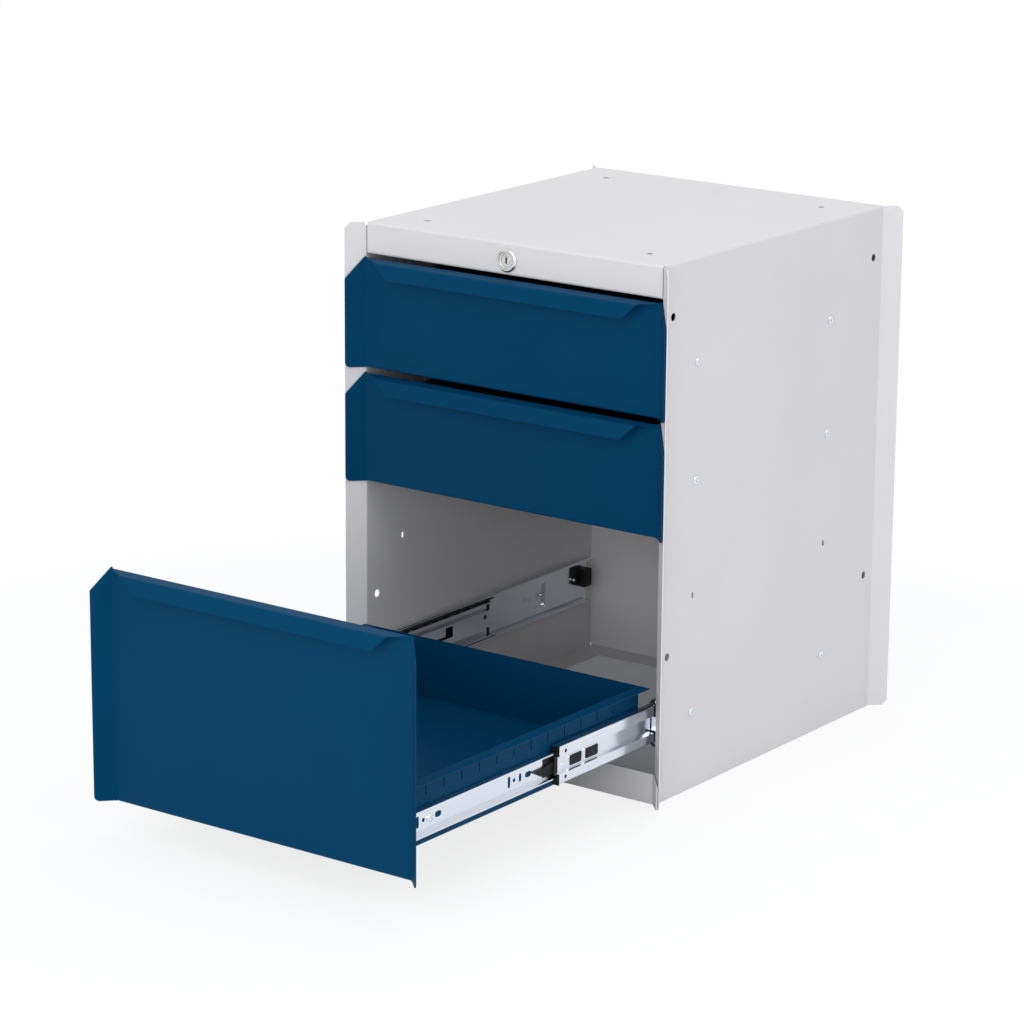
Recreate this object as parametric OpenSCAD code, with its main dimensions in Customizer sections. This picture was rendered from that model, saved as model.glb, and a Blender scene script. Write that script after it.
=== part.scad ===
// Under-bench drawer pedestal in folded steel sheet: a grey carcass, three blue
// drawers (single, single, double) on full-extension ball slides, one central lock.
// Millimetres. X runs to the right seen from the front, Y to the rear, Z up; z = 0 is the floor.
// The frame's origin is under the middle of the object with the bottom drawer open.

/* [Cabinet] */
// Width over the side panels, without the flared edges
body_w = 336; // [300:1:420]
// Depth of the side panels, without the flared edges
body_d = 370; // [330:1:450]
// Height of one drawer unit; the pedestal holds four of them
unit_h = 110; // [100:1:140]
// Height of the fixed strip that carries the lock
rail_h = 30; // [29:1:50]
// Height of the fixed panel under the drawers
plinth_h = 30; // [20:1:60]
// Thickness of the carcass sheet
sheet_t = 1; // [0.8:0.1:1.5]
// Sideways reach of the flared carcass edges, at 45 degrees
edge_flare = 14; // [10:1:18]
// Width of the inward flanges that the carcass stands on
foot_w = 29; // [20:1:40]

/* [Drawers] */
// Thickness of the drawer fronts
front_t = 1.2; // [1:0.1:1.5]
// Gap between two drawer fronts
front_gap = 4.5; // [3:0.5:6]
// Distance of the fronts' outer face before the carcass
front_lead = 3; // [2.6:0.1:4]
// Forward reach of the grip lip
lip_reach = 12.8; // [10:0.1:16]
// Height of the grip lip's face
lip_drop = 17; // [12:0.5:20]
// Height of the drawer boxes
box_h = 60; // [52:0.5:70]
// Thickness of the drawer box sheet
box_t = 1; // [0.8:0.1:1.2]
// How far the bottom drawer stands open in the stored pose, as a share of its travel
open_share = 1; // [0:0.05:1]

/* [Slides] */
// Height of the cabinet member
slide_h = 45.7; // [44:0.1:47]
// Thickness of a closed slide
slide_w = 12.7; // [12.7:0.1:13]
// Share of a drawer's travel that the middle members make
middle_share = 0.405; // [0.4:0.005:0.5]

/* [Lock] */
// Sideways place of the lock
lock_x = -4; // [-60:1:60]
// Diameter of the lock's face
lock_d = 22; // [20:0.5:23]

/* [Output] */
// Node to build, or "all"

/* [Hidden] */
eps = 0.01;
body_h = plinth_h + 4 * unit_h + rail_h;
half_w = body_w / 2;
wall_x = half_w - sheet_t;              // inner face of a side panel
bend_r = 2.5;                           // outer bend radius of the carcass
fold_gap = 1;                           // gap between the carcass flares and the fronts' flares

// Drawer units from the top down: height of the unit's lower edge, size in units.
unit_z = [plinth_h + 3 * unit_h, plinth_h + 2 * unit_h, plinth_h];
unit_n = [1, 1, 2];

// Slides.  s_x is the face of the drawer box they lie on.
slide_len = body_d - 20;
slide_y = 6;
travel = slide_len + 6;
open_y = [0, 0, open_share * travel];
s_x = wall_x - slide_w - 2.3;
s_z = box_h - 15.5;                     // slide centre above the unit's lower edge
outer_t = 1.2;
outer_x = s_x + 5.6;                    // inboard edge of the cabinet member's flanges
web_x = s_x + slide_w - outer_t;        // inner face of the cabinet member's web
mid_h = slide_h - 10.3;
mid_t = 1.1;
mid_y = slide_y - 4.2;
mid_len = slide_len - 26.5;
mid_x = web_x - 1.5;                    // outboard face of the middle member
mid_in = mid_x - 4.5;                   // outboard face of its recessed web
in_h = mid_h - 11;
in_t = 1.2;
in_y = 5;
in_len = slide_len - 18;
in_d = 6.9;
ball_1 = slide_h / 2 - outer_t - mid_h / 2 - 0.15;
ball_2 = mid_h / 2 - mid_t - in_h / 2 - 0.15;
screw_y = [slide_y + 49.5, slide_y + slide_len - 76.5];
in_screw_y = [38.5, slide_len - 90];
lever_y = in_screw_y[1] - 73.6;         // tip of the release lever
// Front ends of the ball cages when shut: fully open, the outer ones end at the cabinet
// member's front and the inner ones stand close behind the caps.
cage_out_y = slide_y - 0.39 + middle_share / 2 * travel;
cage_in_y = mid_y + 17.29 + (1 - middle_share) / 2 * travel;
stop_y = slide_y + slide_len - 25;      // keeper at the rear of the cabinet member

// Drawer fronts and boxes.
front_y = -front_lead;
front_back = front_y + front_t;
front_x = half_w - sqrt(2) * (sheet_t + fold_gap + front_t) + front_lead;
front_flare = edge_flare - 0.5;
box_z = 22.4;                           // box bottom above the unit's lower edge
box_y = body_d - 21;                    // rear face of a closed box
rim_x = s_x + slide_w - 0.2;            // edge of a box's side flange
rivet_x = [-110, 110];

// Lock and locking bar.
lock_z = body_h - rail_h / 2 - 1;
crank_r = 10;
pin_c = crank_r * sqrt(0.5);            // the crank stands at 45 degrees at both ends
bar_x = lock_x + 8.5;
bar_y = box_y + 6;
bar_t = 2;
bar_w = 22;
catch_z = box_h - 8;                    // catches above the unit's lower edge

// The origin lies under the middle of the bounding box.
y_min = -open_y[2] + min(front_y - front_flare, front_y - lip_reach);
y_max = body_d + edge_flare;
frame_y = -(y_min + y_max) / 2;

grey = [0.82, 0.82, 0.82];
blue = [0.0, 0.25, 0.4];
zinc = [0.78, 0.8, 0.84];
steel = [0.6, 0.6, 0.62];
black = [0.08, 0.08, 0.09];
chrome = [0.85, 0.85, 0.87];

// ---- Folded sheet -------------------------------------------------------------

function unit(v) = v / norm(v);
function side(v) = [-v[1], v[0]];
// Point i of a path, moved t to its left, on the mitre of its two legs.
function mitre(p, i, t) =
  let (n = len(p),
       a = i > 0 ? unit(p[i] - p[i - 1]) : unit(p[1] - p[0]),
       b = i < n - 1 ? unit(p[i + 1] - p[i]) : a,
       m = unit(side(a) + side(b)))
  p[i] + m * t / (m * side(a));
// Points of an arc of radius r in the corner p0-p1-p2.
function bend(p0, p1, p2, r, n = 5) =
  let (a = unit(p0 - p1), b = unit(p2 - p1), h = acos(a * b) / 2,
       c = p1 + unit(a + b) * r / sin(h), s = p1 + a * r / tan(h) - c, e = p1 + b * r / tan(h) - c,
       w = acos(max(-1, min(1, unit(s) * unit(e)))), d = s[0] * e[1] - s[1] * e[0] > 0 ? 1 : -1)
  [for (k = [0:n]) let (q = d * w * k / n) c + [s[0] * cos(q) - s[1] * sin(q), s[0] * sin(q) + s[1] * cos(q)]];
function bent(p, r) = concat([p[0]], [for (i = [1:len(p) - 2])
  for (q = r[i - 1] > 0 ? bend(p[i - 1], p[i], p[i + 1], r[i - 1]) : [p[i]]) q], [p[len(p) - 1]]);

// A sheet of thickness t on the left of the path p; r rounds the path's corners,
// as one radius or as a list.
module sheet(p, t, r = 0) {
  q = bent(p, is_list(r) ? r : [for (i = [2:len(p)]) r]);
  polygon(concat(q, [for (i = [len(q) - 1:-1:0]) mitre(q, i, t)]));
}

// Extrusions of a drawing: along Y from an XZ drawing, along X from a YZ drawing.
module along_y(y0, y1) translate([0, y1, 0]) rotate([90, 0, 0]) linear_extrude(y1 - y0) children();
module along_x(x0, x1) translate([x0, 0, 0]) rotate([90, 0, 90]) linear_extrude(x1 - x0) children();
module along_z(z0, z1) translate([0, 0, z0]) linear_extrude(z1 - z0) children();

module block(a, b) translate(a) cube(b - a);
module both_sides() { children(); mirror([1, 0, 0]) children(); }
module drill_x(y, z, d, x0, x1) translate([x0, y, z]) rotate([0, 90, 0]) cylinder(d = d, h = x1 - x0, $fn = 32);
module drill_y(x, z, d, y0, y1) translate([x, y0, z]) rotate([-90, 0, 0]) cylinder(d = d, h = y1 - y0, $fn = 48);
module drill_z(x, y, d, z0, z1) translate([x, y, z0]) cylinder(d = d, h = z1 - z0, $fn = 32);
// A slot through X: round ends, l long over all, standing or lying.
module slot_x(y, z, w, l, x0, x1, standing = false) {
  h = (l - w) / 2;
  for (s = [-1, 1]) drill_x(y + (standing ? 0 : s * h), z + (standing ? s * h : 0), w, x0, x1);
  if (standing) block([x0, y - w / 2, z - h], [x1, y + w / 2, z + h]);
  else block([x0, y - h, z - w / 2], [x1, y + h, z + w / 2]);
}

// ---- Carcass --------------------------------------------------------------------

top_hole = [125, 144];                  // half spacing of the four holes in the top
top_hole_y = body_d / 2 - 2;
join_y = [15, body_d - 15];             // holes that join two pedestals
join_z = [plinth_h + 107, body_h - 48];

// Outline of a flare seen square to it: root at 0, corner cuts [across, down] at the top.
module flare_blank(reach, h, cut_top, cut_low) {
  l = reach * sqrt(2);
  polygon([[-3, 0], [l - cut_low, 0], [l, cut_low], [l, h - cut_top[1]], [l - cut_top[0], h], [-3, h]]);
}
// Stands such an outline up at x0, y0, turned by a, as a thick plate to intersect with.
module at_flare(x0, y0, a) translate([x0, y0, 0]) rotate([0, 0, a]) rotate([90, 0, 0])
  translate([0, 0, -8]) linear_extrude(16) children();

module shell_side() {
  block([wall_x, 1, 0], [half_w, body_d - 1, body_h - bend_r]);
  // Both flares, with their corners cut.
  for (rear = [0, 1]) intersection() {
    along_z(0, body_h) intersection() {
      sheet([[half_w + edge_flare, body_d + edge_flare], [half_w, body_d], [half_w, 0],
        [half_w + edge_flare, -edge_flare]], -sheet_t, bend_r - sheet_t);
      translate([half_w - 5, rear ? body_d - 1 - eps : -50]) square([50, 51 + eps]);
    }
    at_flare(half_w, rear ? body_d : 0, rear ? 45 : -45)
      flare_blank(edge_flare, body_h - 0.5, [5, 5], 5);
  }
  // The foot flange; its rear end is mitred.
  along_z(0, sheet_t) polygon([[wall_x + eps, 1], [wall_x + eps, body_d - 1.5],
    [wall_x - foot_w + eps, body_d - foot_w - 1.5], [wall_x - foot_w + eps, 1]]);
}

module shell() color(grey) difference() {
  union() {
    both_sides() shell_side();
    // Top with its two bends into the sides.
    along_y(bend_r + 0.5, body_d) difference() {
      sheet([[half_w, body_h - 30], [half_w, body_h], [-half_w, body_h], [-half_w, body_h - 30]],
        sheet_t, bend_r);
      translate([-half_w - 1, body_h - 31]) square([body_w + 2, 31 - bend_r]);
    }
    // The lock rail, folded down from the top.
    along_x(-(wall_x - 1), wall_x - 1)
      sheet([[12, body_h - rail_h], [0, body_h - rail_h], [0, body_h], [bend_r + 1, body_h]], -sheet_t, bend_r);
  }
  // Relief at the top's front corners.
  both_sides() block([wall_x - 1, -1, body_h - bend_r - 1], [half_w + 0.8, bend_r + 0.5, body_h + 1]);
  for (x = [-1, 1], y = [-1, 1])
    drill_z(x * top_hole[0], top_hole_y + y * top_hole[1], 6.5, body_h - 5, body_h + 5);
  drill_y(lock_x, lock_z, 19, -5, 5);
  both_sides() {
    for (y = join_y, z = join_z) drill_x(y, z, 7.5, wall_x - 5, half_w + 5);
    for (k = [0:2], y = screw_y) drill_x(y, unit_z[k] + s_z, 3.4, wall_x - 5, half_w + 5);
    // Places for a slide where two single drawers would stand instead of the double one.
    for (y = screw_y) slot_x(y - 1, unit_z[2] + unit_h + s_z + 2, 3.4, 6, wall_x - 5, half_w + 5, true);
  }
}

module back_panel() color(grey) {
  w = wall_x - 1;
  h = body_h - sheet_t;
  along_x(-w, w) sheet([[body_d - 12, h], [body_d, h], [body_d, eps]], -sheet_t, [bend_r]);
  along_z(0, sheet_t) polygon([[-w, body_d], [w, body_d], [w - foot_w, body_d - foot_w],
    [-(w - foot_w), body_d - foot_w]]);
  // Lips that close the seams with the sides.
  both_sides() block([w - eps, body_d - 0.4, 2], [wall_x, body_d, body_h - 4]);
}

// The fixed panel under the drawers; its flange lies on the foot flanges of the sides.
module plinth() color(grey) {
  h = plinth_h - 0.5;
  x1 = half_w - sqrt(2) * (2 * sheet_t + fold_gap) + front_lead;
  intersection() {
    along_z(sheet_t, h) sheet([[-x1 - front_flare, front_y - front_flare], [-x1, front_y], [x1, front_y],
      [x1 + front_flare, front_y - front_flare]], sheet_t, bend_r - sheet_t);
    union() {
      block([-x1 + 1, -10, 0], [x1 - 1, 10, h]);
      both_sides() intersection() {
        at_flare(x1, front_y, -45) flare_blank(front_flare, h, [front_flare * sqrt(2), 6], 3);
        block([x1 - 1 - eps, -60, 0], [x1 + 60, 10, h]);
      }
    }
  }
  along_z(sheet_t, 2 * sheet_t) polygon([[-x1 + 2, front_y + eps], [x1 - 2, front_y + eps], [x1 - 2, 0],
    [wall_x - 0.3, 0], [wall_x - 0.3, 1.5], [wall_x - 22, 22], [-wall_x + 22, 22], [-wall_x + 0.3, 1.5],
    [-wall_x + 0.3, 0], [-x1 + 2, 0]]);
}

// ---- Drawers --------------------------------------------------------------------

module front(k) {
  z0 = unit_z[k] + front_gap / 2;
  z1 = unit_z[k] + unit_n[k] * unit_h - front_gap / 2;
  flat_x = front_x - 1;
  lip_x = front_x - 15.5 - 1.08 * lip_drop; // end of the lip's lower edge
  blank = front_flare * sqrt(2);
  color(blue) translate([0, -open_y[k], 0]) {
    difference() {
      // The flat panel with its lower flange and the grip lip, folded from one sheet.
      along_x(-flat_x, flat_x) sheet([[8, z0 + front_t], [front_back, z0 + front_t], [front_back, z1],
        [front_y - lip_reach + 1.5, z1 - 2.6], [front_y - lip_reach, z1 - lip_drop]], front_t, [0.8, 2.4, 3]);
      both_sides() {
        // The lip's ends taper forwards, then downwards.
        along_z(z1 - lip_drop - 5, z1 + 5) polygon([[front_x, front_y], [front_x - 18, front_y - 9.5],
          [front_x - 18, -60], [front_x + 5, -60], [front_x + 5, front_y]]);
        along_y(-60, front_y - 5) polygon([[front_x - 18, z1 - 2.2], [lip_x, z1 - lip_drop],
          [lip_x, z1 - lip_drop - 5], [front_x + 5, z1 - lip_drop - 5], [front_x + 5, z1 - 2.2]]);
        block([front_x - 16, front_back, z0 - 1], [front_x + 5, 20, z0 + front_t + 2]);
      }
      for (x = rivet_x, z = [15, 45]) drill_y(x, unit_z[k] + box_z + z, 3.4, front_back - 0.7, front_back + 3);
    }
    // The flares; their outer corners are cut long at the top and rounded below.
    translate([0, 0, z0]) both_sides() intersection() {
      along_z(0, z1 - z0) sheet([[front_x - 5, front_y], [front_x, front_y],
        [front_x + front_flare, front_y - front_flare]], front_t, 0.8);
      at_flare(front_x, front_y, -45) union() {
        flare_blank(front_flare, z1 - z0, [blank, 21], 5);
        translate([blank - 5, 5]) circle(r = 5, $fn = 40);
      }
      block([flat_x - eps, -60, 0], [front_x + 60, 10, z1 - z0]);
    }
  }
}

slot_n = floor((box_y - 36) / 25);      // divider slots in each side of a box

module box(k) {
  z0 = unit_z[k] + box_z;
  z1 = z0 + box_h;
  xi = s_x - box_t;
  color(blue) translate([0, -open_y[k], 0]) difference() {
    union() {
      along_y(front_back, box_y) sheet([[rim_x, z1], [xi, z1], [xi, z0 + box_t], [-xi, z0 + box_t],
        [-xi, z1], [-rim_x, z1]], box_t, 1.6);
      for (y = [front_back, box_y - box_t]) along_y(y, y + box_t)
        polygon([[-s_x + 3, z0], [s_x - 3, z0], [s_x - eps, z0 + 3], [s_x - eps, z1], [-s_x + eps, z1],
          [-s_x + eps, z0 + 3]]);
    }
    both_sides() for (i = [0:slot_n - 1])
      block([xi - 3, 33.9 + 25 * i, z0 + 43.2], [s_x + 1, 35.3 + 25 * i, z0 + box_h - 2]);
    both_sides() for (y = in_screw_y) drill_x(y, unit_z[k] + s_z, 3.4, xi - 3, s_x + 2);
    for (x = rivet_x, z = [15, 45]) drill_y(x, z0 + z, 3.4, front_back - 1, front_back + 3);
  }
}

// Catch on the back of a box, hooked by the locking bar.
module catch(k) color(zinc) translate([bar_x, -open_y[k], unit_z[k] + catch_z])
  along_x(-12, 12) sheet([[box_y, 22], [box_y, 0], [box_y + 5.5, 0], [box_y + 5.5, 10]], 1.2);

// Release lever: its foot fills the window in the drawer member, its arm lies on the web.
module levers(k) color(black) translate([0, -open_y[k], unit_z[k] + s_z]) both_sides() {
  block([s_x + 0.1, lever_y + 13.8, -9.3], [s_x + in_t + 0.3, lever_y + 40.8, 8.8]);
  along_x(s_x + in_t, s_x + in_t + 2.2) translate([lever_y, 0])
    polygon([[-3.5, 0], [14, 0.4], [24, 3], [40, 5], [40, -7], [20, -8.6], [10, -6.6], [2, -2.2]]);
}

module drawer_screws(k) color(zinc) translate([0, -open_y[k], 0]) {
  both_sides() for (y = in_screw_y) {
    drill_x(y, unit_z[k] + s_z, 3.3, s_x - box_t - 1.2, s_x + in_t + 1);
    translate([s_x + in_t, y, unit_z[k] + s_z]) rotate([0, 90, 0]) cylinder(d1 = 7.4, d2 = 5.6, h = 2, $fn = 40);
  }
  // Screws from inside the box into the front.
  for (x = rivet_x, z = [15, 45]) {
    drill_y(x, unit_z[k] + box_z + z, 3.3, front_back - 0.6, front_back + box_t + 0.5);
    translate([x, front_back + box_t, unit_z[k] + box_z + z]) rotate([-90, 0, 0])
      cylinder(d1 = 7, d2 = 5.6, h = 1.8, $fn = 40);
  }
}

// ---- Slides -----------------------------------------------------------------------
// Drawn for the right side; the left one is its mirror image.

module hand(s) mirror([s == "l" ? 1 : 0, 0, 0]) children();

// Outline of the raised pad round the screw at y, drawn c smaller on all sides.
module pad(y, c) polygon([[y - 40 + c, -6 + c / 2], [y - 34 + c, -9 + c], [y + 5 - c, -13 + 1.2 * c],
  [y + 5 - c, 13 - 1.2 * c], [y - 34 + c, 9 - c], [y - 40 + c, 6 - c / 2]]);

module outer(k, s) {
  h = slide_h / 2;
  x1 = s_x + slide_w;
  color(zinc) hand(s) translate([0, 0, unit_z[k] + s_z]) {
    difference() {
      union() {
        along_y(slide_y, slide_y + slide_len) sheet([[outer_x, h - 2], [outer_x, h], [x1, h], [x1, -h],
          [outer_x, -h], [outer_x, -h + 2]], -outer_t, [1.5, 2, 2, 1.5]);
        for (y = screw_y) along_x(x1 - eps, wall_x) pad(y, 0);
      }
      for (y = screw_y) {
        along_x(web_x - 1, web_x + 0.7) pad(y, 0.1);
        along_x(web_x - 1, wall_x - outer_t) pad(y, 1.6);
        drill_x(y, 0, 3.4, x1 - 5, wall_x + 1);
        for (d = [18.5, 28.5]) drill_x(y - d, 0, 4.6, x1 - 5, wall_x + 1);
        slot_x(y - 7, 0, 5.6, 8, x1 - 5, wall_x + 1, true);
      }
      block([outer_x + 2, slide_y + slide_len - 55.5, -h - 1],
        [x1 - 2, slide_y + slide_len - 31.5, -h + outer_t + 0.2]);
    }
    // Stop tab in the recess of the middle member.
    block([mid_in + 0.9, slide_y, -6.6], [web_x + eps, slide_y + outer_t, 6.6]);
  }
}

module slide_screws() color(zinc) both_sides() for (k = [0:2], y = screw_y) {
  drill_x(y, unit_z[k] + s_z, 3.3, web_x, half_w + 1);
  translate([half_w, y, unit_z[k] + s_z]) rotate([0, 90, 0]) cylinder(d1 = 8.4, d2 = 6.2, h = 2.2, $fn = 40);
}

// Keepers at the rear of the cabinet members: a low part and a plate that stands inwards.
module rear_stops() color(black) both_sides() for (k = [0:2]) translate([0, stop_y, unit_z[k] + s_z]) {
  block([web_x - 4.2, 0, 0], [web_x, 8 + eps, 18]);
  along_x(s_x + 2, web_x) polygon([[8, -3.5], [9, -4.5], [20, -4.5], [21, -3.5], [21, 13], [20, 14], [8, 14]]);
}

// Window through the recessed web of the middle member: [front, rear, low, high].
mid_windows = [[20.5, 39.2, -6.2, 3.7], [44.4, 64.4, -6.2, 3.7]];

module window(w, c) translate([w[0] - c, w[2] - c]) {
  r = 2 + c;
  l = [w[1] - w[0] + 2 * c, w[3] - w[2] + 2 * c];
  for (y = [r, l[0] - r], z = [r, l[1] - r]) translate([y, z]) circle(r = r, $fn = 32);
  translate([r, 0]) square([l[0] - 2 * r, l[1]]);
  translate([0, r]) square([l[0], l[1] - 2 * r]);
}

module middle(k, s) {
  h = mid_h / 2;
  x0 = s_x + 2;
  color(zinc) hand(s) translate([0, mid_y - middle_share * open_y[k], unit_z[k] + s_z]) difference() {
    union() {
      along_y(0, mid_len) sheet([[x0, h], [mid_x, h], [mid_x, 8.2], [mid_in, 7.6], [mid_in, -7.6],
        [mid_x, -8.2], [mid_x, -h], [x0, -h]], -mid_t, [1.8, 0, 0, 0, 0, 1.8]);
      // Rims of the windows.
      for (w = mid_windows) along_x(mid_in - eps, mid_in + 0.5) window(w, 0.9);
    }
    for (w = mid_windows) along_x(mid_in - mid_t - 1, mid_in + 1) window(w, 0);
    // The recessed web starts behind the cap.
    block([mid_in - mid_t - 1, -1, -7.6], [mid_x + 1, 3.4, 7.6]);
    for (z = [-12.1, 12.1]) drill_x(9.4, z, 3.6, mid_x - 3, mid_x + 1);
    drill_x(8.2, -0.9, 3.2, mid_in - 0.5, mid_x + 1);
    // Catch opening near the rear end.
    block([mid_in - 3, mid_len - 72, -4.6], [mid_in + 1, mid_len - 60.6, 6.6]);
    block([mid_in - 3, mid_len - 92, -4.6], [mid_in + 1, mid_len - 60.6, -1.6]);
    drill_x(mid_len - 8, 3, 5, mid_in - 3, mid_x + 1);
  }
}

// Plastic end piece of a middle member; the drawer member runs through it.
module cap(k, s) {
  zi = in_h / 2 + 0.4;
  zo = mid_h / 2 + 0.3;
  xr = s_x + in_d + 0.4;
  xw = mid_in - mid_t - 0.6;            // inboard face of its bridge before the recessed web
  xp = mid_x - mid_t - 0.05;            // its plugs reach this close to the bands
  zp = mid_h / 2 - mid_t - 0.1;
  color(black) hand(s) translate([0, mid_y - middle_share * open_y[k], unit_z[k] + s_z]) {
    along_y(-1.1, 0) polygon([[s_x + 2, zi], [s_x + 2, zo - 1.5], [s_x + 4.5, zo], [mid_x, zo], [mid_x, 8.4],
      [mid_in - 0.1, 8.4], [mid_in - 0.1, -8.4], [mid_x, -8.4], [mid_x, -zo], [s_x + 4.5, -zo],
      [s_x + 2, -zo + 1.5], [s_x + 2, -zi], [xr, -zi], [xr, -9.9], [xw, -9.9], [xw, 9.9], [xr, 9.9], [xr, zi]]);
    block([xw, -eps, -7.5], [mid_in - 0.1, 3.35, 7.5]);
    // Plugs behind the bands, with the pins that hold the cap.
    for (m = [0, 1]) mirror([0, 0, m]) {
      along_y(-eps, 6) polygon([[s_x + 3, zi], [xp, zi], [xp, zp - 0.9], [xp - 0.9, zp], [s_x + 3, zp]]);
      along_y(-eps, 12) polygon([[xr, 9.9], [xp, 9.9], [xp, zp - 0.9], [xp - 0.9, zp], [xr, zp]]);
      drill_x(9.4, 12.1, 3.5, xp - eps, mid_x - 0.1);
    }
  }
}

// Holes in the drawer member: those round the front screw, and those before the lever.
inner_holes = [[in_screw_y[0] - 17, "bar"], [in_screw_y[0] - 9, "dot"], [in_screw_y[0] + 11.5, "flat"],
  [lever_y - 35.5, "bar"], [lever_y - 28, "dot"], [lever_y - 19.3, "oval"], [lever_y - 7.5, "flat"]];

module inner(k, s) {
  h = in_h / 2;
  color(zinc) hand(s) translate([0, -open_y[k], unit_z[k] + s_z]) difference() {
    along_y(in_y, in_y + in_len)
      sheet([[s_x + in_d, h], [s_x, h], [s_x, -h], [s_x + in_d, -h]], in_t, 1.4);
    for (q = inner_holes) {
      if (q[1] == "bar") slot_x(q[0], 0.3, 3.6, 10.6, s_x - 1, s_x + 3, true);
      if (q[1] == "oval") slot_x(q[0], 0.3, 3.6, 7.5, s_x - 1, s_x + 3, true);
      if (q[1] == "dot") drill_x(q[0], 0.3, 3.8, s_x - 1, s_x + 3);
      if (q[1] == "flat") slot_x(q[0], 0.3, 5.2, 8.8, s_x - 1, s_x + 3);
    }
    for (y = in_screw_y) drill_x(y, 0, 3.4, s_x - 1, s_x + 3);
    block([s_x - 1, lever_y + 13.6, -9.5], [s_x + 3, lever_y + 41, 9]);
  }
}

// Row of balls in a flat strip at height a; the last one looks out at its rear end.
function ball_y(i, l, n) = 3.5 + i * (l - 4.5) / (n - 1);
module strip(l, x0, x1, a, xb, ball, n) difference() {
  block([x0, 0, a - 0.25], [x1, l, a + 0.25]);
  for (i = [0:n - 1]) drill_z(xb, ball_y(i, l, n), ball + 0.3, a - 3, a + 3);
}
module balls(l, a, xb, ball, n)
  for (i = [0:n - 1]) translate([xb, ball_y(i, l, n), a]) sphere(d = ball, $fn = 32);

// Outer cage: two strips joined by a web, which is cut back for the stop tab.
module cages_outer(k) color(black) both_sides()
  translate([0, cage_out_y - middle_share / 2 * open_y[k], unit_z[k] + s_z]) {
    a = (slide_h / 2 - outer_t + mid_h / 2) / 2;
    for (m = [0, 1]) mirror([0, 0, m]) {
      strip(183, s_x + 3.6, web_x - 0.5, a, s_x + 8.4, ball_1, 12);
      balls(183, a, s_x + 8.4, ball_1, 12);
    }
    difference() {
      block([web_x - 1, 0, -a], [web_x - 0.5, 183, a]);
      block([web_x - 2, -1, -7.5], [web_x + 1, 4, 7.5]);
    }
  }

// Inner cages: a separate strip above and below the drawer member.
module cages_inner(k) color(black) both_sides()
  translate([0, cage_in_y - (1 + middle_share) / 2 * open_y[k], unit_z[k] + s_z]) {
    a = (in_h / 2 + mid_h / 2 - mid_t) / 2;
    for (m = [0, 1]) mirror([0, 0, m]) {
      strip(100, s_x + 2.6, s_x + 8.2, a, s_x + 4.6, ball_2, 8);
      balls(100, a, s_x + 4.6, ball_2, 8);
    }
  }

// ---- Lock -------------------------------------------------------------------------

module lock_axis() translate([lock_x, 0, lock_z]) rotate([-90, 0, 0]) children();

module lock_housing() color(chrome) lock_axis() difference() {
  union() {
    rotate_extrude($fn = 96) polygon([[7.1, -1.6], [8, -1.6], [8.4, -2.8], [lock_d / 2 - 1.5, -2.8],
      [lock_d / 2, -1.5], [lock_d / 2, 0], [7.1, 0]]);
    translate([0, 0, -eps]) cylinder(d = 18.8, h = 22, $fn = 96);
  }
  translate([0, 0, -5]) cylinder(d = 14.2, h = 30, $fn = 96);
}

module lock_nut() color(zinc) lock_axis() translate([0, 0, sheet_t]) difference() {
  cylinder(d = 24.5, h = 4, $fn = 6);
  translate([0, 0, -1]) cylinder(d = 18.9, h = 6, $fn = 96);
}

module lock_plug() color(chrome) lock_axis() difference() {
  rotate_extrude($fn = 96) polygon([[0, -1.9], [3.9, -1.9], [4.3, -1.3], [5.4, -1.3], [5.8, -2.1], [6.7, -2.1],
    [7.05, -1.7], [7.05, 22.5], [0, 22.5]]);
  block([-0.9, -3, -4], [0.9, 3, 9]);
}

module lock_rod() color(zinc) lock_axis() {
  translate([0, 0, 22.5]) cylinder(d = 6, h = bar_y - 5 - 22.5, $fn = 48);
  // The crank and its pin, up and to the right when unlocked.
  rotate([0, 0, -45]) translate([0, 0, bar_y - 7.2]) {
    cylinder(d = 12, h = 2.2, $fn = 48);
    translate([0, -5, 0]) cube([crank_r, 10, 2.2]);
    translate([crank_r, 0, 0]) cylinder(d = 10, h = 2.2, $fn = 48);
    translate([crank_r, 0, 0]) cylinder(d = 4, h = 11, $fn = 48);
  }
}

module rod_bracket() color(zinc) difference() {
  along_x(lock_x - 12, lock_x + 12) sheet([[bar_y - 36, body_h - sheet_t], [bar_y - 20, body_h - sheet_t],
    [bar_y - 20, lock_z - 10]], -1.5, 2.5);
  drill_y(lock_x, lock_z, 6.1, bar_y - 30, bar_y - 10);
}

module lock_bar() color(zinc) difference() {
  zp = lock_z + pin_c;
  block([bar_x - bar_w / 2, bar_y, unit_z[2] + catch_z + 20], [bar_x + bar_w / 2, bar_y + bar_t, zp + 6]);
  // The slot that the crank pin runs in.
  for (x = [pin_c, crank_r]) drill_y(lock_x + x, zp, 4.8, bar_y - 1, bar_y + bar_t + 1);
  block([lock_x + pin_c, bar_y - 1, zp - 2.4], [lock_x + crank_r, bar_y + bar_t + 1, zp + 2.4]);
}

// Folded hooks spot-welded to the bar; they drop into the catches.
module bar_hooks() color(zinc) for (k = [0:2]) translate([bar_x, bar_y, unit_z[k] + catch_z])
  along_x(-6, 6) sheet([[0, 38], [0, 27.5], [-2.7, 27.5], [-2.7, 16]], -1.5);

// Plastic guides on the back panel that the locking bar slides in.
module bar_guides() color(black) for (z = [unit_z[1] - 45, unit_z[0] + 12]) along_z(z, z + 14)
  translate([bar_x, 0]) difference() {
    translate([-bar_w / 2 - 5, bar_y - 2]) square([bar_w + 10, body_d - sheet_t - bar_y + 2]);
    translate([-bar_w / 2 - 0.15, bar_y - 0.1]) square([bar_w + 0.3, bar_t + 0.2]);
    translate([-bar_w / 2 + 2, bar_y + bar_t + 2.1]) square([bar_w - 4, 4]);
  }

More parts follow.
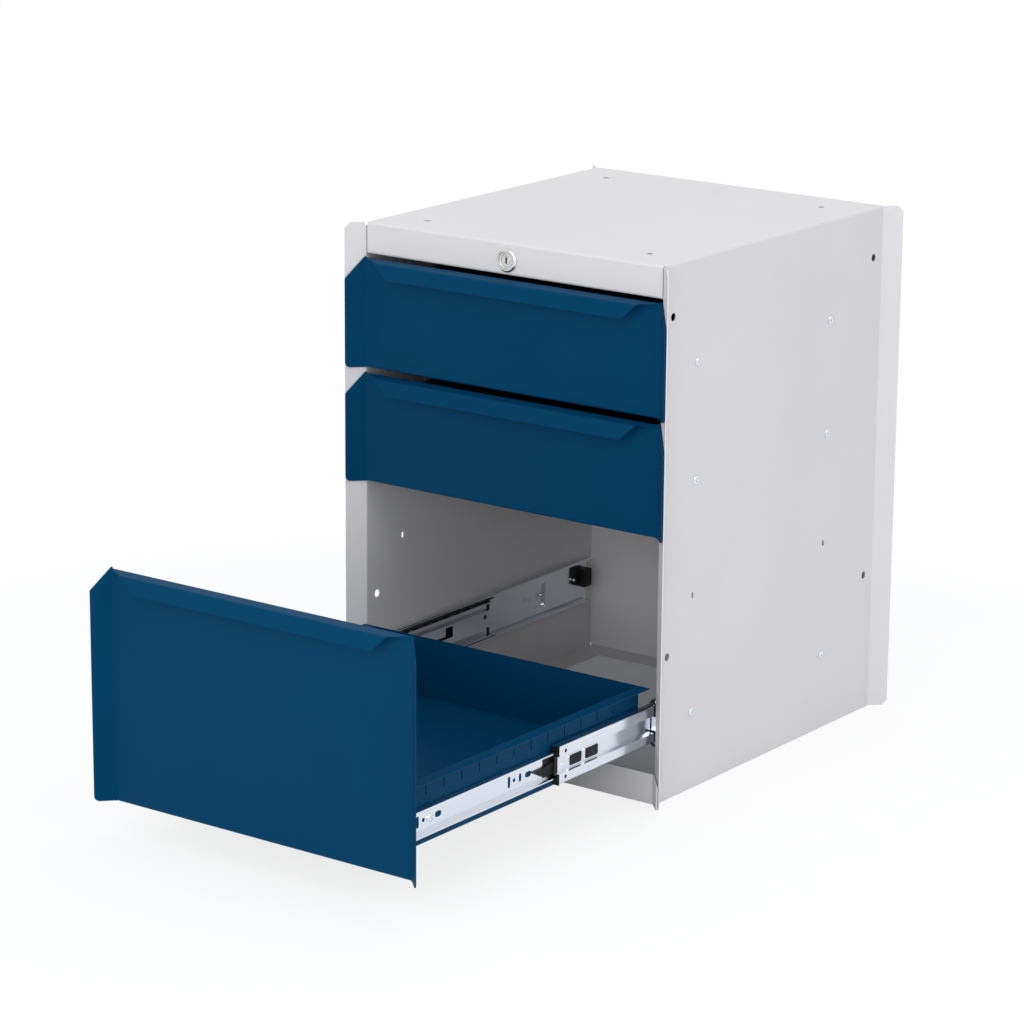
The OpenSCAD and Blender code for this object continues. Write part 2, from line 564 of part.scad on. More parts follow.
// ---- Assembly -----------------------------------------------------------------------

translate([0, frame_y, 0]) {
  shell();
  back_panel();
  plinth();
  lock_housing();
  lock_nut();
  rod_bracket();
  bar_guides();
  slide_screws();
  rear_stops();
  outer(0, "l");  // outer_1l
  outer(0, "r");  // outer_1r
  outer(1, "l");  // outer_2l
  outer(1, "r");  // outer_2r
  outer(2, "l");  // outer_3l
  outer(2, "r");  // outer_3r
  lock_plug();
  lock_rod();
  lock_bar();
  bar_hooks();
  front(0);  // front_1
  front(1);  // front_2
  front(2);  // front_3
  box(0);  // box_1
  box(1);  // box_2
  box(2);  // box_3
  catch(0);  // catch_1
  catch(1);  // catch_2
  catch(2);  // catch_3
  inner(0, "l");  // inner_1l
  inner(0, "r");  // inner_1r
  inner(1, "l");  // inner_2l
  inner(1, "r");  // inner_2r
  inner(2, "l");  // inner_3l
  inner(2, "r");  // inner_3r
  levers(0);  // levers_1
  levers(1);  // levers_2
  levers(2);  // levers_3
  drawer_screws(0);  // drawer_screws_1
  drawer_screws(1);  // drawer_screws_2
  drawer_screws(2);  // drawer_screws_3
  middle(0, "l");  // middle_1l
  middle(0, "r");  // middle_1r
  middle(1, "l");  // middle_2l
  middle(1, "r");  // middle_2r
  middle(2, "l");  // middle_3l
  middle(2, "r");  // middle_3r
  cap(0, "l");  // cap_1l
  cap(0, "r");  // cap_1r
  cap(1, "l");  // cap_2l
  cap(1, "r");  // cap_2r
  cap(2, "l");  // cap_3l
  cap(2, "r");  // cap_3r
  cages_outer(0);  // cages_outer_1
  cages_outer(1);  // cages_outer_2
  cages_outer(2);  // cages_outer_3
  cages_inner(0);  // cages_inner_1
  cages_inner(1);  // cages_inner_2
  cages_inner(2);  // cages_inner_3
}
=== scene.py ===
# %% [markdown]
# # A drawer pedestal in powder-coated sheet steel
#
# The solids come from a CAD program and are loaded as a fixed frame: every sheet, slide
# and screw already has its real size and place, in metres, with Z up and the drawers
# opening towards -Y. What is left for Blender is what a CAD program does not know: how
# powder coat, zinc plate and moulded plastic look, how a pressed sheet's edge catches
# light, and what a screw's drive looks like from close by.

# %% Load the frame
import math

import bmesh
import bpy
from mathutils import Euler, Matrix, Vector


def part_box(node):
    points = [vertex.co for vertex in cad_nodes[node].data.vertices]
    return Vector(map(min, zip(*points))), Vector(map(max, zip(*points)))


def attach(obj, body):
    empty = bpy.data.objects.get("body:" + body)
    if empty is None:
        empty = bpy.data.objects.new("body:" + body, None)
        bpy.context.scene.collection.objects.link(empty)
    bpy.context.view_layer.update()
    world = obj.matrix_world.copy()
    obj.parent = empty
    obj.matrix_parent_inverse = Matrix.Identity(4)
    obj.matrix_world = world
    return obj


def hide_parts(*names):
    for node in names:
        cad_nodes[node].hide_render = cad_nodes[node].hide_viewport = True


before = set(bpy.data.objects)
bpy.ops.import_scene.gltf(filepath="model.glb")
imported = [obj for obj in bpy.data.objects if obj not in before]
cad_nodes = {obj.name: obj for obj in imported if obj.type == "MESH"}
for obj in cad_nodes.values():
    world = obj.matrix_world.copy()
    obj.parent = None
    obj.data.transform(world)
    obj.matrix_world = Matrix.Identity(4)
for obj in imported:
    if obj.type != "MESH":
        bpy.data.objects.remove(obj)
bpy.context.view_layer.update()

# %% [markdown]
# ## The camera
#
# The photograph was taken from far away with a long lens, which keeps the cabinet's
# uprights nearly parallel. Place, direction and lens were worked out from the corners and
# holes of the cabinet, whose distances are known, and are written here as a photographer
# would note them: where the camera stands, and how far it is turned, tilted and rolled.

# %% Camera
CAMERA_PLACE = (2.0200, -2.74515, 1.1714)
CAMERA_TURN = math.radians(36.36)       # to the left of straight ahead
CAMERA_TILT = math.radians(15.17)       # down from level
CAMERA_ROLL = math.radians(0.43)
SENSOR = 36.0                           # mm
FOCAL_PIXELS = 3831.3                   # focal length in pixels of a 1024 pixel picture
PICTURE = 1024

camera = bpy.data.objects.new("camera", bpy.data.cameras.new("camera"))
bpy.context.collection.objects.link(camera)
camera.data.sensor_width = SENSOR
camera.data.lens = SENSOR * FOCAL_PIXELS / PICTURE
camera.data.clip_end = 50
turn = Euler((0, 0, CAMERA_TURN)).to_matrix()
tilt = Euler((math.pi / 2 - CAMERA_TILT, 0, 0)).to_matrix()
roll = Euler((0, 0, CAMERA_ROLL)).to_matrix()
camera.matrix_world = Matrix.Translation(CAMERA_PLACE) @ (turn @ tilt @ roll).to_4x4()
bpy.context.scene.camera = camera
print("lens: %.1f mm" % camera.data.lens)

# %% [markdown]
# ## Shader maths that reads like maths
#
# A procedural material is a sum of simple patterns. Wiring each plus and times by hand
# hides the idea, so one class stands for "what comes out of this socket" and lets Python's
# own operators add the Math nodes. Every other kind of node comes from its make() method.

# %% The Wire class
class Wire:
    """What comes out of one socket of a material."""

    def __init__(self, socket):
        self.socket = socket

    def make(self, kind, settings=None, inputs=None, output=0):
        """Adds a node of this kind beside the wire and gives one of its outputs."""
        tree = self.socket.id_data
        node = tree.nodes.new("ShaderNode" + kind)
        for name, setting in (settings or {}).items():
            setattr(node, name, setting)
        for name, value in (inputs or {}).items():
            if isinstance(value, Wire):
                tree.links.new(value.socket, node.inputs[name])
            else:
                node.inputs[name].default_value = value
        return Wire(node.outputs[output])

    def maths(self, operation, *values):
        """A Math node on these values, or on the wire alone."""
        return self.make("Math", {"operation": operation}, dict(enumerate(values or (self,))))

    def __add__(self, other):
        return self.maths("ADD", self, other)

    def __sub__(self, other):
        return self.maths("SUBTRACT", self, other)

    def __rsub__(self, other):
        return self.maths("SUBTRACT", other, self)

    def __mul__(self, other):
        return self.maths("MULTIPLY", self, other)

    def __pow__(self, other):
        return self.maths("POWER", self, other)

    def __gt__(self, other):
        return self.maths("GREATER_THAN", self, other)

    def __lt__(self, other):
        return self.maths("LESS_THAN", self, other)

    def __abs__(self):
        return self.maths("ABSOLUTE", self)

    __radd__ = __add__
    __rmul__ = __mul__

    def part(self, axis):
        """The X, Y or Z of a vector."""
        return self.make("SeparateXYZ", inputs={"Vector": self}, output=axis)

    def noise(self, grain, detail=2.0, stretch=(1, 1, 1)):
        """Noise from 0 to 1 whose blobs are about one grain long, in metres."""
        scaled = self.make("VectorMath", {"operation": "MULTIPLY"},
                           {0: self, 1: tuple(1 / (grain * s) for s in stretch)})
        return self.make("TexNoise", {"normalize": True},
                         {"Vector": scaled, "Scale": 1.0, "Detail": detail}, output="Fac")

    def blend(self, low, high):
        """One colour where the wire is 0, another where it is 1."""
        tree = self.socket.id_data
        node = tree.nodes.new("ShaderNodeMix")
        node.data_type = "RGBA"
        sockets = {s.name: s for s in node.inputs if s.type == "RGBA"}
        for name, colour in (("A", low), ("B", high)):
            if isinstance(colour, Wire):
                tree.links.new(colour.socket, sockets[name])
            else:
                sockets[name].default_value = (*colour, 1)
        tree.links.new(self.socket, node.inputs[0])
        return Wire(next(s for s in node.outputs if s.type == "RGBA"))

    def bump(self, height):
        """A Normal that follows the wire as a relief of this height, in metres."""
        return self.make("Bump", inputs={"Strength": 1.0, "Distance": height, "Height": self})


def begin(name):
    """A new material: its shader's node, and where each point is in the frame."""
    material = bpy.data.materials.new(name)
    material.use_nodes = True
    nodes = material.node_tree.nodes
    place = Wire(nodes.new("ShaderNodeTexCoord").outputs["Object"])
    return material, nodes["Principled BSDF"], place


def finish(shader, **looks):
    """Sets the shader's sockets: a Wire is linked, anything else is a plain value."""
    for name, look in looks.items():
        socket = shader.inputs[name.replace("_", " ")]
        if isinstance(look, Wire):
            shader.id_data.links.new(look.socket, socket)
        else:
            socket.default_value = look


def give(material, slot, *objects):
    """Puts a material on objects; slot, the record's slot that it stands for, is not used."""
    for thing in objects:
        thing.data.materials.clear()
        thing.data.materials.append(material)

# %% [markdown]
# ## Powder coat
#
# Powder coat is a plastic skin that is baked on. It flows less than wet paint, so it keeps
# a fine orange peel, with dimples of about a millimetre that are a few microns deep, and
# it never has a mirror's gloss. The colour itself is even. What tells it from a flat fill
# is the peel breaking up the highlights and a slow drift in the film's thickness.

# %% Powder coat
PEEL_GRAIN = 0.0011
PEEL_HEIGHT = 0.000012
DRIFT_SIZE = 0.09                       # of the places where the film is thicker


def powder_coat(name, thin, thick, roughness, shine, glint=(1, 1, 1, 1)):
    """thin and thick: the colour where the film is lighter and where it is heavier."""
    material, shader, place = begin(name)
    peel = place.noise(PEEL_GRAIN, 1.0)
    drift = place.noise(DRIFT_SIZE, 3.0)
    finish(shader,
           Base_Color=drift.blend(thin, thick),
           Roughness=roughness + 0.10 * (drift - 0.5) + 0.08 * (peel - 0.5),
           Normal=peel.bump(PEEL_HEIGHT),
           Specular_IOR_Level=shine,
           Specular_Tint=glint)
    return material


LIGHT_GREY = (0.655, 0.635, 0.638)
LIGHT_GREY_THICK = (0.615, 0.598, 0.602)
DEEP_BLUE = (0.0005, 0.046, 0.112)
DEEP_BLUE_THICK = (0.0, 0.041, 0.101)
BLUE_GLINT = (0.30, 0.65, 1.0, 1)

grey_coat = powder_coat("light grey powder coat", LIGHT_GREY, LIGHT_GREY_THICK,
                        roughness=0.46, shine=0.35)
blue_coat = powder_coat("deep blue powder coat", DEEP_BLUE, DEEP_BLUE_THICK,
                        roughness=0.40, shine=0.07, glint=BLUE_GLINT)
print("coats:", grey_coat.name, "and", blue_coat.name)

# %% [markdown]
# ## Zinc plate
#
# The slides and screws are rolled steel with a thin blue-passivated zinc plate. It is a
# metal, so its colour lives in the reflection. Rolling leaves fine streaks along the
# member, which is along Y, and the passivation drifts between bluish and straw.

# %% Zinc plate
BLUISH = (0.88, 0.94, 1.03)             # tints of the passivation
STRAW = (0.96, 0.98, 1.0)
DULL = (0.74, 0.80, 0.90)
STREAK_WIDTH = 0.0012
STREAK_HEIGHT = 0.000003
CLOUD_SIZE = 0.03


def zinc_plate(name, streak_stretch, bright):
    """streak_stretch: how much longer than wide a streak is, along X, Y and Z."""
    material, shader, place = begin(name)
    streak = place.noise(STREAK_WIDTH, 2.0, streak_stretch)
    cloud = place.noise(CLOUD_SIZE, 3.0)
    tint = cloud.blend([bright * c for c in BLUISH], [bright * c for c in STRAW])
    dullness = 0.25 * (streak - 0.5) + 0.125 + 0.35 * (cloud - 0.5)
    finish(shader,
           Base_Color=dullness.blend(tint, [bright * c for c in DULL]),
           Metallic=1.0,
           Roughness=0.13 + 0.13 * streak,
           Normal=streak.bump(STREAK_HEIGHT))
    return material


rolled_zinc = zinc_plate("zinc plate, rolled", streak_stretch=(1, 40, 1), bright=0.84)
small_zinc = zinc_plate("zinc plate, small parts", streak_stretch=(1, 1, 1), bright=0.80)
print("plated:", rolled_zinc.name, "and", small_zinc.name)

# %% [markdown]
# ## Black plastic, steel balls and the lock's nickel
#
# The caps, keepers, levers and ball cages are moulded in black plastic with a faint eroded
# grain. Cage and balls are one CAD node, so the balls are picked out by where they are: in
# the two rows, and above or below the thin strip that holds them.

# %% Black plastic
BLACK = (0.008, 0.008, 0.009)
SCUFFED_BLACK = (0.017, 0.017, 0.018)
ERODED_GRAIN = 0.0004
ERODED_HEIGHT = 0.00001
SCUFF_SIZE = 0.012


def black_plastic():
    """Matt, with a fine grain and paler places where it has been handled."""
    material, shader, place = begin("moulded black plastic")
    grain = place.noise(ERODED_GRAIN, 2.0)
    scuff = place.noise(SCUFF_SIZE, 3.0)
    finish(shader,
           Base_Color=scuff.blend(BLACK, SCUFFED_BLACK),
           Roughness=0.40 + 0.16 * grain + 0.10 * (scuff - 0.5),
           Normal=grain.bump(ERODED_HEIGHT),
           Specular_IOR_Level=0.15)
    return material


black = black_plastic()
print("moulded:", black.name)

# %% Cages with their balls
CAGE_STRIP = 0.0005                     # thickness of a cage's strips
CAGE_BLACK = (0.015, 0.015, 0.017)
BALL_STEEL = (0.70, 0.71, 0.73)
OUTER_BALL = 0.0038                     # diameter of the balls between cabinet and middle member
INNER_BALL = 0.00425                    # diameter of those between middle and drawer member


def cage_with_balls(node, ball):
    """Black cage, bright balls: told apart by their distance from the two ball rows."""
    low, high = (Vector(corner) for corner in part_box(node))
    material, shader, place = begin("ball cage " + node)
    row = (high.z - low.z - ball) / 2
    off_strip = abs(abs(place.part(2) - (low.z + high.z) / 2) - row)
    inboard_of_web = abs(place.part(0)) < high.x - 1.2 * CAGE_STRIP
    is_ball = (off_strip > 0.6 * CAGE_STRIP) * inboard_of_web
    scuff = place.noise(0.004, 2.0)
    finish(shader,
           Base_Color=is_ball.blend(CAGE_BLACK, BALL_STEEL),
           Metallic=is_ball,
           Roughness=0.42 - 0.30 * is_ball + 0.08 * scuff)
    return material

# %% The lock's nickel
LOCK_FACE = [Vector(corner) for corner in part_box("lock_housing")]
LOCK_AXIS = (LOCK_FACE[0] + LOCK_FACE[1]) / 2
TURNING = 9000                          # radians of tool mark per metre of radius
TURNING_HEIGHT = 0.000004
WORN_NICKEL = (0.62, 0.61, 0.59)
BRIGHT_NICKEL = (0.74, 0.73, 0.71)


def turned_nickel():
    """Die-cast and nickel-plated; its rings are turned, so fine circles run round the axis."""
    material, shader, place = begin("nickel plate, turned")
    from_axis = place.make("VectorMath", {"operation": "SUBTRACT"}, {0: place, 1: tuple(LOCK_AXIS)})
    radius = (from_axis.part(0) ** 2 + from_axis.part(2) ** 2) ** 0.5
    rings = (radius * TURNING).maths("SINE")
    wear = place.noise(0.003, 3.0)
    finish(shader,
           Base_Color=wear.blend(WORN_NICKEL, BRIGHT_NICKEL),
           Metallic=1.0,
           Roughness=0.16 + 0.14 * wear + 0.03 * rings,
           Normal=rings.bump(TURNING_HEIGHT))
    return material


nickel = turned_nickel()
print("turned:", nickel.name, "round", tuple(round(c, 4) for c in LOCK_AXIS))

# %% [markdown]
# ## Dressing the CAD nodes
#
# The CAD solids have the right shapes, so they stay, and each gets the finish of the piece
# it is. Cut sheet has sharp corners in CAD; a real edge is slightly rounded by tumbling
# and by the coat, and shows as a thin bright line. A narrow bevel gives it that line.

# %% Finishes by node
def named(*starts):
    """The CAD nodes whose names start with one of these."""
    return [thing for name, thing in cad_nodes.items() if name.startswith(starts)]


give(grey_coat, "grey_powder_coat", *named("shell", "back_panel", "plinth"))
give(blue_coat, "blue_powder_coat", *named("front_", "box_"))
give(rolled_zinc, "zinc_plated_steel", *named("outer_", "inner_", "middle_", "lock_bar", "bar_hooks"))
give(small_zinc, "zinc_plated_steel", *named("catch_", "rod_bracket", "lock_nut", "lock_rod"))
give(black, "black_plastic", *named("cap_", "levers_", "rear_stops", "bar_guides"))
give(nickel, "lock_nickel", *named("lock_housing", "lock_plug"))
for cage in named("cages_outer"):
    give(cage_with_balls(cage.name, OUTER_BALL), "black_plastic", cage)
for cage in named("cages_inner"):
    give(cage_with_balls(cage.name, INNER_BALL), "black_plastic", cage)
print("finished nodes:", sum(len(thing.data.materials) > 0 for thing in cad_nodes.values()))

# %% Rounded edges
# Node names start with the word on the left; the width of the rounding is in metres.
ROUNDED = {"rear_stops": 0.0005, "bar_guides": 0.0004, "cap_": 0.0003, "levers_": 0.0003,
           "plinth": 0.0003, "back_panel": 0.0003}
EDGE_ANGLE = math.radians(40)

for start, width in ROUNDED.items():
    for thing in named(start):
        bevel = thing.modifiers.new("rounded edges", "BEVEL")
        bevel.width = width
        bevel.segments = 2
        bevel.limit_method = "ANGLE"
        bevel.angle_limit = EDGE_ANGLE
        bevel.harden_normals = False
    print(start, "edges rounded by %.1f mm" % (1000 * width))

# %% [markdown]
# ## Pan-head screws
#
# The CAD screws are plain shanks with conical heads. A real one has a low domed head with a
# cross recess and a thread. A boolean could cut the cross, but it leaves ragged faces on a
# part this small. Here the head is a round grid of points instead, and the cross is pressed
# into the grid: each point knows how deep it lies, so the walls of the recess stay clean.
# The thread is a grid too, whose radius rises and falls along a helix.

# %% Where the screws sit
def separate_solids(thing):
    """The corners of each solid in an object, as lists of places."""
    mesh = bmesh.new()
    mesh.from_mesh(thing.data)
    bmesh.ops.remove_doubles(mesh, verts=mesh.verts, dist=1e-6)
    waiting = set(mesh.verts)
    solids = []
    while waiting:
        edge_of_search = [waiting.pop()]
        solid = []
        while edge_of_search:
            vert = edge_of_search.pop()
            solid.append(vert.co.copy())
            for edge in vert.link_edges:
                other = edge.other_vert(vert)
                if other in waiting:
                    waiting.remove(other)
                    edge_of_search.append(other)
        solids.append(solid)
    mesh.free()
    return solids


def screw_seat(corners):
    """Under-head point, outward axis, head radius, head height and shank length of a screw."""
    low = Vector([min(c[i] for c in corners) for i in range(3)])
    high = Vector([max(c[i] for c in corners) for i in range(3)])
    middle = (low + high) / 2
    along = min(range(3), key=lambda i: high[i] - low[i])
    outward = 1 if along == 1 or middle.x > 0 else -1
    axis = Vector([outward if i == along else 0 for i in range(3)])

    def from_axis(corner):
        offset = corner - middle
        return (offset - axis * offset.dot(axis)).length

    widest = max(corners, key=from_axis)
    seat = (widest - middle).dot(axis)
    half_length = (high - low)[along] / 2
    return middle + axis * seat, axis, from_axis(widest), half_length - seat, half_length + seat

# %% A head with its cross, and a thread
CROSS_REACH = 0.52                      # of the head's radius
CROSS_WIDTH = 0.20
CROSS_DEPTH = 0.55                      # of the head's height
DOME_DROP = 0.6                         # how much lower the head is at its rim, as a share
SLOPE = 0.06                            # width of the recess's walls, of the head's radius
SHANK_RADIUS = 0.00165
THREAD_PITCH = 0.0012
THREAD_DEPTH = 0.00035
RINGS_PER_TURN = 8                      # of the thread
TIP_RADIUS = 0.6                        # of the shank's
SCREW_AROUND = 48                       # points in a ring
HEAD_SHARES = [0.05 * i for i in range(1, 14)] + [0.72, 0.8, 0.88, 0.94, 1.0]


def ramp(value, width):
    """Rises from 0 to 1 over this width and stays level on both sides."""
    return max(0.0, min(1.0, value / width))


def head_height(x, y):
    """Height of the head over its seat, as a share, at a point in head radii."""
    r = math.hypot(x, y)
    dome = 1 - DOME_DROP * r ** 3
    long_way, short_way = max(abs(x), abs(y)), min(abs(x), abs(y))
    cross = ramp(CROSS_REACH - long_way, 3 * SLOPE) * ramp(CROSS_WIDTH / 2 + SLOPE - short_way, SLOPE)
    return dome - CROSS_DEPTH * cross


def round_grid(mesh, rings, around):
    """Faces through rings of points; a ring with one point closes the grid."""
    made = [[mesh.verts.new(point) for point in ring] for ring in rings]
    for one, two in zip(made, made[1:]):
        for i in range(around):
            j = (i + 1) % around
            corners = [one[i % len(one)], one[j % len(one)], two[j % len(two)], two[i % len(two)]]
            mesh.faces.new(list(dict.fromkeys(corners)))


def add_screw(mesh, corners):
    """Adds one screw to the mesh, in the place of the CAD screw with these corners."""
    seat, axis, radius, height, length = screw_seat(corners)
    turn = axis.to_track_quat("Z", "Y").to_matrix()

    def at(r, angle, z):
        return seat + turn @ Vector((r * math.cos(angle), r * math.sin(angle), z))

    angles = [2 * math.pi * i / SCREW_AROUND for i in range(SCREW_AROUND)]
    rings = [[at(0, 0, height * head_height(0, 0))]]
    for share in HEAD_SHARES:
        rings.append([at(radius * share, a, height * head_height(share * math.cos(a), share * math.sin(a)))
                      for a in angles])
    rings.append([at(radius, a, 0.0) for a in angles])
    rings.append([at(SHANK_RADIUS, a, 0.0) for a in angles])
    steps = round(RINGS_PER_TURN * length / THREAD_PITCH)
    for step in range(steps + 1):
        z = -length * step / steps
        taper = ramp(length + z, THREAD_PITCH)
        rings.append([])
        for a in angles:
            turns = (z / THREAD_PITCH - a / (2 * math.pi)) % 1.0
            valley = THREAD_DEPTH * abs(2 * turns - 1)
            core = SHANK_RADIUS * (TIP_RADIUS + (1 - TIP_RADIUS) * taper)
            rings[-1].append(at(core - valley, a, z))
    rings.append([at(0, 0, -length)])
    round_grid(mesh, rings, SCREW_AROUND)

# %% All the screws
SMOOTH_BELOW = math.radians(35)         # edges that turn more than this stay sharp


def piece_from(mesh, name, body):
    """An object made of this bmesh that rides on a body."""
    bmesh.ops.recalc_face_normals(mesh, faces=mesh.faces)
    data = bpy.data.meshes.new(name)
    mesh.to_mesh(data)
    mesh.free()
    data.shade_smooth()
    data.set_sharp_from_angle(angle=SMOOTH_BELOW)
    thing = bpy.data.objects.new(name, data)
    bpy.context.collection.objects.link(thing)
    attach(thing, body)
    return thing


SCREW_BODIES = {"slide_screws": "carcass"}
for k in (1, 2, 3):
    SCREW_BODIES["drawer_screws_%d" % k] = "drawer_%d" % k

for node, body in SCREW_BODIES.items():
    mesh = bmesh.new()
    solids = separate_solids(cad_nodes[node])
    for corners in solids:
        add_screw(mesh, corners)
    screws = piece_from(mesh, node + "_pan_head", body)
    give(small_zinc, "zinc_plated_steel", screws)
    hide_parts(node)
    print(node, len(solids), "screws")

# %% [markdown]
# ## Rivets in the keepers
#
# Each keeper at the rear of a slide is held by a small bright rivet whose domed head shows
# on its front. A whole sphere would hide half of its faces in the keeper, so the head is
# only a cap, made ring by ring.

# %% Keeper rivets
RIVET_RADIUS = 0.0016
RIVET_HEIGHT = 0.0008
RIVET_IN = 0.0021                       # from the keeper's outboard side
RIVET_UP = 0.0085                       # over the keeper's lower end
RIVET_RINGS = 6
RIVET_AROUND = 24

mesh = bmesh.new()
for corners in separate_solids(cad_nodes["rear_stops"]):
    side = 1 if corners[0].x > 0 else -1
    x = side * (max(abs(c.x) for c in corners) - RIVET_IN)
    y = min(c.y for c in corners)
    z = min(c.z for c in corners) + RIVET_UP
    rings = [[(x, y - RIVET_HEIGHT, z)]]
    for step in range(1, RIVET_RINGS + 1):
        tilt_down = math.pi / 2 * step / RIVET_RINGS
        reach = RIVET_RADIUS * math.sin(tilt_down)
        rise = RIVET_HEIGHT * math.cos(tilt_down)
        angles = [2 * math.pi * i / RIVET_AROUND for i in range(RIVET_AROUND)]
        rings.append([(x + reach * math.cos(a), y - rise, z + reach * math.sin(a)) for a in angles])
    rings.append([(x, y, z)])
    round_grid(mesh, rings, RIVET_AROUND)
rivets = piece_from(mesh, "keeper_rivets", "carcass")
give(small_zinc, "zinc_plated_steel", rivets)
print("keeper rivets:", len(rivets.data.polygons), "faces")

# %% [markdown]
# ## Dark strips behind the slides' windows
#
# The middle member's two small windows look black, because a strip of dark plastic that
# belongs to the end cap lies behind them. Painting the windows dark would look wrong from
# the side, so the strip is a real thin plate, one for each member, with its corners cut,
# and it moves with the member.

# %% Window strips
STRIP_LENGTH = 0.0665                   # from behind the cap to past the second window
STRIP_HALF_HEIGHT = 0.0068
STRIP_FROM_END = 0.0036                 # from the member's front end
STRIP_INBOARD = 0.00175                 # from the member's inboard edge to the strip
STRIP_THICK = 0.0006
STRIP_CORNER = 0.0015

for k in (1, 2, 3):
    for hand, side in (("l", -1), ("r", 1)):
        low, high = (Vector(corner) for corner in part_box("middle_%d%s" % (k, hand)))
        inboard_edge = low.x if side > 0 else -high.x
        inboard = inboard_edge + STRIP_INBOARD
        level = (low.z + high.z) / 2
        front = low.y + STRIP_FROM_END
        rear = front + STRIP_LENGTH
        half_high = STRIP_HALF_HEIGHT
        outline = [(front, -half_high), (rear - STRIP_CORNER, -half_high), (rear, -half_high + STRIP_CORNER),
                   (rear, half_high - STRIP_CORNER), (rear - STRIP_CORNER, half_high), (front, half_high)]
        mesh = bmesh.new()
        faces = [[mesh.verts.new((side * x, y, level + z)) for y, z in outline]
                 for x in (inboard, inboard + STRIP_THICK)]
        for face in faces:
            mesh.faces.new(face)
        for i in range(len(outline)):
            j = (i + 1) % len(outline)
            mesh.faces.new([faces[0][i], faces[0][j], faces[1][j], faces[1][i]])
        body = "middle_%d_%s" % (k, "left" if hand == "l" else "right")
        strip = piece_from(mesh, "window_strip_%d%s" % (k, hand), body)
        give(black, "black_plastic", strip)
print("window strips: 6, %.1f mm long" % (1000 * STRIP_LENGTH))

# %% [markdown]
# ## The studio
#
# A white sweep and broad soft lights, as for a catalogue. The floor is pale near the
# object, so that it holds a faint soft shadow, and turns to plain white further out. The
# world is white to the camera and in reflections, and dimmer as a light, so that pale
# surfaces keep their tone. Broad lamps keep the highlights on the zinc from burning out.

# %% Floor
FLOOR_SIZE = 12.0
FLOOR_DROP = 0.0005                     # the floor lies this far under the feet
FLARE_REACH = 0.0145                    # how far the flared edges stand out, and half a mm
CARCASS = [Vector(corner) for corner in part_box("shell")]
FOOT_X = CARCASS[1].x - FLARE_REACH     # half the cabinet's width over its sides
FOOT_Y = (CARCASS[0].y + CARCASS[1].y) / 2
FOOT_DEPTH = 0.370                      # the cabinet's depth between its flared edges
FAINT_SHADOW = 0.8                      # how far the floor around the cabinet goes to white
PALE_WITHIN = 0.35                      # the floor starts to whiten here, from the middle
WHITE_BEYOND = 0.9
floor_mesh = bpy.data.meshes.new("floor")
half = FLOOR_SIZE / 2
floor_mesh.from_pydata([(-half, -half, 0), (half, -half, 0), (half, half, 0), (-half, half, 0)],
                       [], [(0, 1, 2, 3)])
floor = bpy.data.objects.new("floor", floor_mesh)
bpy.context.collection.objects.link(floor)
floor.location.z = -FLOOR_DROP

floor_paint, floor_shader, floor_place = begin("pale floor")
finish(floor_shader, Base_Color=(0.93, 0.93, 0.94, 1), Roughness=0.9, Specular_IOR_Level=0.1)
from_middle = floor_place.make("VectorMath", {"operation": "LENGTH"}, {0: floor_place}, output="Value")
far = from_middle.make("MapRange", {"interpolation_type": "SMOOTHSTEP"},
                       {"Value": from_middle, "From Min": PALE_WITHIN, "From Max": WHITE_BEYOND})
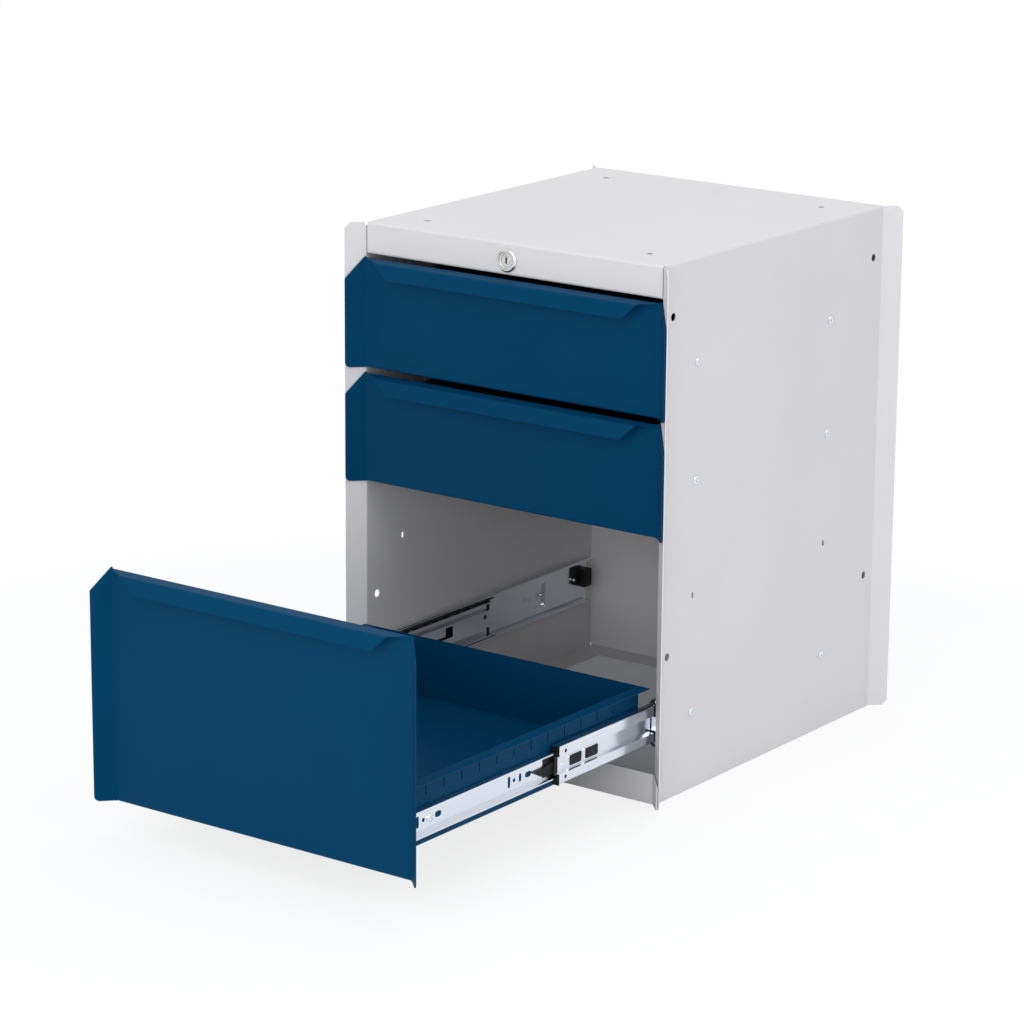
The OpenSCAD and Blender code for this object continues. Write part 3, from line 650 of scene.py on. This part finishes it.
# The photograph's shadow outside the cabinet is faint; the floor under it stays as it is.
beside = abs(floor_place.part(0)) > FOOT_X
before_or_behind = abs(floor_place.part(1) - FOOT_Y) > FOOT_DEPTH / 2
outside = beside.maths("MAXIMUM", beside, before_or_behind)
far = far.maths("MAXIMUM", far, FAINT_SHADOW * outside)
seen = far.make("LightPath", output="Is Camera Ray")
white = far.make("Emission", inputs={"Color": (1, 1, 1, 1), "Strength": 1.0})
tree = floor_paint.node_tree
sweep = tree.nodes.new("ShaderNodeMixShader")
tree.links.new((far * seen).socket, sweep.inputs[0])
tree.links.new(floor_shader.outputs[0], sweep.inputs[1])
tree.links.new(white.socket, sweep.inputs[2])
tree.links.new(sweep.outputs[0], tree.nodes["Material Output"].inputs["Surface"])
floor_mesh.materials.append(floor_paint)
print("floor: faint shadow outside %.0f mm either side" % (1000 * FOOT_X))

# %% World
WORLD_LIGHT = 0.71
SHADE_TINT = (0.90, 0.94, 1.0)          # light from the room is a little bluer than the lamps'
world = bpy.data.worlds.new("studio")
bpy.context.scene.world = world
world.use_nodes = True
world_tree = world.node_tree
background = world_tree.nodes["Background"]
path = world_tree.nodes.new("ShaderNodeLightPath")
camera_ray = Wire(path.outputs["Is Camera Ray"])
mirrored_ray = Wire(path.outputs["Is Glossy Ray"]) + Wire(path.outputs["Is Transmission Ray"])
shown = camera_ray.maths("MAXIMUM", camera_ray, mirrored_ray)
room = shown.blend([WORLD_LIGHT * c for c in SHADE_TINT], (1, 1, 1))
world_tree.links.new(room.socket, background.inputs["Color"])
print("room light:", WORLD_LIGHT)

# %% Lamps
AIM = Vector((0, -0.1, 0.25))


def soft_light(name, place, size, power):
    """A round lamp of this size in metres and this power in watts, aimed at the object."""
    lamp = bpy.data.lights.new(name, "AREA")
    lamp.shape = "DISK"
    lamp.size = size
    lamp.energy = power
    thing = bpy.data.objects.new(name, lamp)
    bpy.context.collection.objects.link(thing)
    thing.location = place
    thing.rotation_euler = (AIM - Vector(place)).to_track_quat("-Z", "Y").to_euler()
    print("lamp:", name, power, "W")


soft_light("key", (0.6, -2.6, 2.6), 2.0, 12)
soft_light("side", (2.7, -0.4, 2.2), 2.0, 18)
soft_light("top", (-0.2, 0.4, 3.0), 2.0, 20)
soft_light("front", (1.7, -3.0, 1.0), 1.6, 25)
soft_light("fill", (-0.1, -3.4, 1.35), 1.2, 13)

# %% Colours as written
bpy.context.scene.view_settings.view_transform = "Standard"
